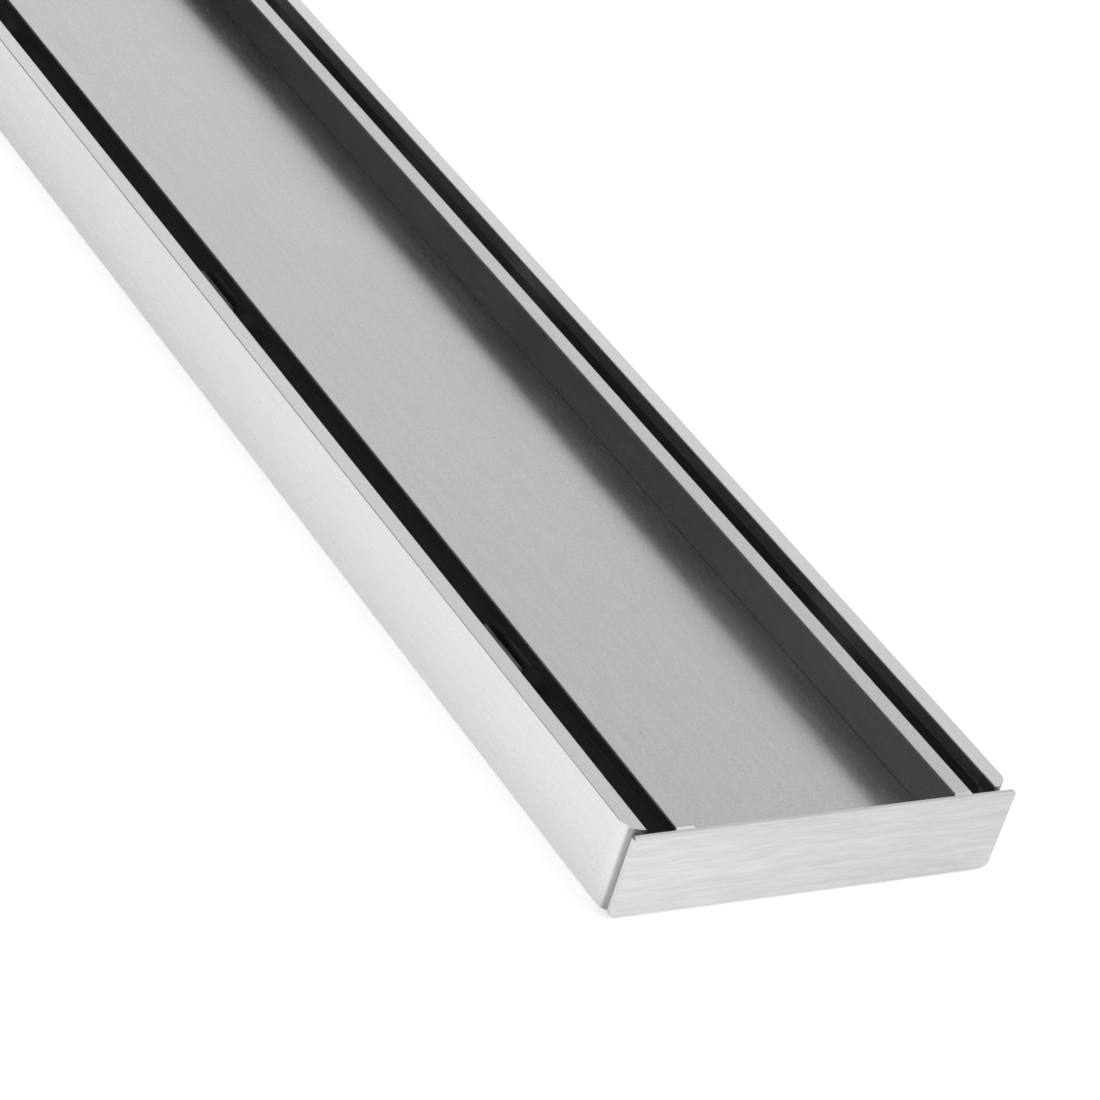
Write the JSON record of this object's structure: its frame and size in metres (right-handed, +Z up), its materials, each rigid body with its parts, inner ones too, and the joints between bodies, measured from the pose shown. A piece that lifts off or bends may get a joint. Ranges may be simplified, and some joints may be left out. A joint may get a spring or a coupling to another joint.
{
  "type": "channel drain",
  "caption": "Slim aluminium channel drain with a lift-out tray for a strip of floor tile, a drainage slot along each side of it and brushed end plates.",
  "frame": {"origin": "middle of the underside, at the outlet hole's centre", "axes": "+X along the drain, +Y across it, +Z up out of the floor"},
  "size_m": [0.6, 0.1, 0.0215],
  "materials": {
    "channel_aluminium": "satin anodised, fine lengthwise grain",
    "tray_aluminium": "satin anodised, fine lengthwise grain",
    "support_plastic": "black, moulded, matt",
    "seal_rubber": "black rubber, matt",
    "plate_aluminium": "brushed across the drain"
  },
  "bodies": {
    "root": {"channel_body": "channel_aluminium", "tile_tray": "tray_aluminium", "tray_support_1": "support_plastic", "tray_support_2": "support_plastic", "tray_support_3": "support_plastic", "tray_support_4": "support_plastic", "near_end_seal": "seal_rubber", "far_end_seal": "seal_rubber", "near_end_plate": "plate_aluminium", "far_end_plate": "plate_aluminium"}
  },
  "joints": []
}
